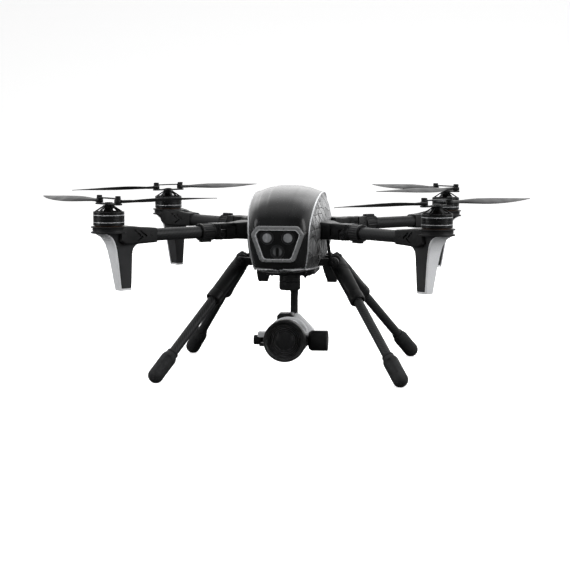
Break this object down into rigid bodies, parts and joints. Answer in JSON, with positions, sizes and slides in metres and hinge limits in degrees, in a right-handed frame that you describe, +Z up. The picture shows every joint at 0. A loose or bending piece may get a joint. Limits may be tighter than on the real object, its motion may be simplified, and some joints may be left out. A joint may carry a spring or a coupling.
{
  "type": "quadcopter drone",
  "caption": "Camera quadcopter with folding arms and blades, swing-up landing legs, slide-out battery and a stabilised gimbal camera.",
  "frame": {"origin": "on the ground, under the middle of the four motor shafts", "axes": "-Y out of the nose, +X to the right as seen by someone facing the nose, +Z up; left and right in names are as seen facing the nose"},
  "size_m": [0.7206, 0.7396, 0.281],
  "materials": {
    "frame_black": "satin",
    "shell_black": "gloss",
    "panel_silver": "satin",
    "trim_silver": "satin",
    "window_black": "gloss",
    "arm_black": "satin",
    "carbon": "satin",
    "winglet_silver": "satin",
    "motor_black": "satin",
    "copper": "satin",
    "blade_grey": "satin",
    "steel": "satin",
    "board_green": "satin",
    "battery_black": "matte",
    "boot_rubber": "matte",
    "camera_silver": "satin",
    "lens_black": "satin"
  },
  "bodies": {
    "airframe": {"main_frame": "frame_black", "hinge_pins": "steel", "top_shell": "shell_black", "belly_shell": "shell_black", "side_panels": "panel_silver", "nose_bezel": "trim_silver", "nose_cameras": "window_black", "circuit_boards": "board_green", "gear_motors": "motor_black", "gimbal_mount": "frame_black"},
    "battery": {"battery_pack": "battery_black"},
    "power_button": {"power_button": "trim_silver"},
    "legs_left": {"legs_left": "carbon", "foot_boots_left": "boot_rubber"},
    "legs_right": {"legs_right": "carbon", "foot_boots_right": "boot_rubber"},
    "gimbal_yaw": {"gimbal_yaw_arm": "motor_black"},
    "gimbal_roll": {"gimbal_roll_arm": "motor_black"},
    "camera": {"camera_body": "camera_silver", "camera_lens": "lens_black"},
    "arm_front_left": {"arm_tube_front_left": "carbon", "arm_knuckle_front_left": "arm_black", "motor_mount_front_left": "arm_black", "winglet_cover_front_left": "winglet_silver", "motor_stator_front_left": "copper"},
    "collar_front_left": {"locking_collar_front_left": "arm_black"},
    "rotor_front_left": {"motor_bell_front_left": "motor_black", "prop_hub_front_left": "arm_black"},
    "blade_a_front_left": {"blade_a_front_left": "blade_grey"},
    "blade_b_front_left": {"blade_b_front_left": "blade_grey"},
    "arm_front_right": {"arm_tube_front_right": "carbon", "arm_knuckle_front_right": "arm_black", "motor_mount_front_right": "arm_black", "winglet_cover_front_right": "winglet_silver", "motor_stator_front_right": "copper"},
    "collar_front_right": {"locking_collar_front_right": "arm_black"},
    "rotor_front_right": {"motor_bell_front_right": "motor_black", "prop_hub_front_right": "arm_black"},
    "blade_a_front_right": {"blade_a_front_right": "blade_grey"},
    "blade_b_front_right": {"blade_b_front_right": "blade_grey"},
    "arm_rear_left": {"arm_tube_rear_left": "carbon", "arm_knuckle_rear_left": "arm_black", "motor_mount_rear_left": "arm_black", "winglet_cover_rear_left": "winglet_silver", "motor_stator_rear_left": "copper"},
    "collar_rear_left": {"locking_collar_rear_left": "arm_black"},
    "rotor_rear_left": {"motor_bell_rear_left": "motor_black", "prop_hub_rear_left": "arm_black"},
    "blade_a_rear_left": {"blade_a_rear_left": "blade_grey"},
    "blade_b_rear_left": {"blade_b_rear_left": "blade_grey"},
    "arm_rear_right": {"arm_tube_rear_right": "carbon", "arm_knuckle_rear_right": "arm_black", "motor_mount_rear_right": "arm_black", "winglet_cover_rear_right": "winglet_silver", "motor_stator_rear_right": "copper"},
    "collar_rear_right": {"locking_collar_rear_right": "arm_black"},
    "rotor_rear_right": {"motor_bell_rear_right": "motor_black", "prop_hub_rear_right": "arm_black"},
    "blade_a_rear_right": {"blade_a_rear_right": "blade_grey"},
    "blade_b_rear_right": {"blade_b_rear_right": "blade_grey"}
  },
  "joints": [
    {"name": "arm_fold_front_left", "type": "hinge", "parent": "airframe", "child": "arm_front_left", "pos_m": [-0.09405, -0.09405, 0.212], "axis": [0.3907, -0.9205, 0], "range_deg": [0, 70]},
    {"name": "collar_twist_front_left", "type": "hinge", "parent": "arm_front_left", "child": "collar_front_left", "pos_m": [-0.11172, -0.11172, 0.217], "axis": [-0.7071, -0.7071, 0], "range_deg": [0, 60]},
    {"name": "rotor_spin_front_left", "type": "hinge", "parent": "arm_front_left", "child": "rotor_front_left", "pos_m": [-0.22981, -0.22981, 0.25], "axis": [0, 0, -1], "continuous": true},
    {"name": "blade_a_fold_front_left", "type": "hinge", "parent": "rotor_front_left", "child": "blade_a_front_left", "pos_m": [-0.24678, -0.21284, 0.2677], "axis": [0, 0, 1], "range_deg": [-100, 100]},
    {"name": "blade_b_fold_front_left", "type": "hinge", "parent": "rotor_front_left", "child": "blade_b_front_left", "pos_m": [-0.21284, -0.24678, 0.2677], "axis": [0, 0, 1], "range_deg": [-190, 10]},
    {"name": "arm_fold_front_right", "type": "hinge", "parent": "airframe", "child": "arm_front_right", "pos_m": [0.09405, -0.09405, 0.212], "axis": [0.3907, 0.9205, 0], "range_deg": [0, 70]},
    {"name": "collar_twist_front_right", "type": "hinge", "parent": "arm_front_right", "child": "collar_front_right", "pos_m": [0.11172, -0.11172, 0.217], "axis": [0.7071, -0.7071, 0], "range_deg": [0, 60]},
    {"name": "rotor_spin_front_right", "type": "hinge", "parent": "arm_front_right", "child": "rotor_front_right", "pos_m": [0.22981, -0.22981, 0.25], "axis": [0, 0, 1], "continuous": true},
    {"name": "blade_a_fold_front_right", "type": "hinge", "parent": "rotor_front_right", "child": "blade_a_front_right", "pos_m": [0.24678, -0.21284, 0.2677], "axis": [0, 0, 1], "range_deg": [-100, 100]},
    {"name": "blade_b_fold_front_right", "type": "hinge", "parent": "rotor_front_right", "child": "blade_b_front_right", "pos_m": [0.21284, -0.24678, 0.2677], "axis": [0, 0, 1], "range_deg": [-100, 100]},
    {"name": "arm_fold_rear_left", "type": "hinge", "parent": "airframe", "child": "arm_rear_left", "pos_m": [-0.09405, 0.09405, 0.212], "axis": [-0.3907, -0.9205, 0], "range_deg": [0, 70]},
    {"name": "collar_twist_rear_left", "type": "hinge", "parent": "arm_rear_left", "child": "collar_rear_left", "pos_m": [-0.11172, 0.11172, 0.217], "axis": [-0.7071, 0.7071, 0], "range_deg": [0, 60]},
    {"name": "rotor_spin_rear_left", "type": "hinge", "parent": "arm_rear_left", "child": "rotor_rear_left", "pos_m": [-0.22981, 0.22981, 0.25], "axis": [0, 0, 1], "continuous": true},
    {"name": "blade_a_fold_rear_left", "type": "hinge", "parent": "rotor_rear_left", "child": "blade_a_rear_left", "pos_m": [-0.24678, 0.21284, 0.2677], "axis": [0, 0, 1], "range_deg": [-100, 100]},
    {"name": "blade_b_fold_rear_left", "type": "hinge", "parent": "rotor_rear_left", "child": "blade_b_rear_left", "pos_m": [-0.21284, 0.24678, 0.2677], "axis": [0, 0, 1], "range_deg": [-100, 100]},
    {"name": "arm_fold_rear_right", "type": "hinge", "parent": "airframe", "child": "arm_rear_right", "pos_m": [0.09405, 0.09405, 0.212], "axis": [-0.3907, 0.9205, 0], "range_deg": [0, 70]},
    {"name": "collar_twist_rear_right", "type": "hinge", "parent": "arm_rear_right", "child": "collar_rear_right", "pos_m": [0.11172, 0.11172, 0.217], "axis": [0.7071, 0.7071, 0], "range_deg": [0, 60]},
    {"name": "rotor_spin_rear_right", "type": "hinge", "parent": "arm_rear_right", "child": "rotor_rear_right", "pos_m": [0.22981, 0.22981, 0.25], "axis": [0, 0, -1], "continuous": true},
    {"name": "blade_a_fold_rear_right", "type": "hinge", "parent": "rotor_rear_right", "child": "blade_a_rear_right", "pos_m": [0.21284, 0.24678, 0.2677], "axis": [0, 0, 1], "range_deg": [-100, 100]},
    {"name": "blade_b_fold_rear_right", "type": "hinge", "parent": "rotor_rear_right", "child": "blade_b_rear_right", "pos_m": [0.24678, 0.21284, 0.2677], "axis": [0, 0, 1], "range_deg": [-10, 190]},
    {"name": "leg_retract_right", "type": "hinge", "parent": "airframe", "child": "legs_right", "pos_m": [0.071, -0.008, 0.168], "axis": [0, 1, 0], "range_deg": [-50, 0]},
    {"name": "leg_retract_left", "type": "hinge", "parent": "airframe", "child": "legs_left", "pos_m": [-0.071, -0.008, 0.168], "axis": [0, 1, 0], "range_deg": [0, 50]},
    {"name": "gimbal_yaw_turn", "type": "hinge", "parent": "airframe", "child": "gimbal_yaw", "pos_m": [0, 0, 0.128], "axis": [0, 0, 1], "range_deg": [-170, 170]},
    {"name": "gimbal_roll_turn", "type": "hinge", "parent": "gimbal_yaw", "child": "gimbal_roll", "pos_m": [0, 0.05, 0.05], "axis": [0, 1, 0], "range_deg": [-40, 40]},
    {"name": "camera_pitch", "type": "hinge", "parent": "gimbal_roll", "child": "camera", "pos_m": [0.045, -0.04, 0.0495], "axis": [1, 0, 0], "range_deg": [-30, 90]},
    {"name": "battery_slide", "type": "slide", "parent": "airframe", "child": "battery", "axis": [0, 1, 0], "range_m": [0, 0.145]},
    {"name": "power_button_press", "type": "slide", "parent": "battery", "child": "power_button", "axis": [0, -1, 0], "range_m": [0, 0.0015]}
  ],
  "couplings": [
    {"joint": "leg_retract_left", "follows": "leg_retract_right", "ratio": -1}
  ]
}
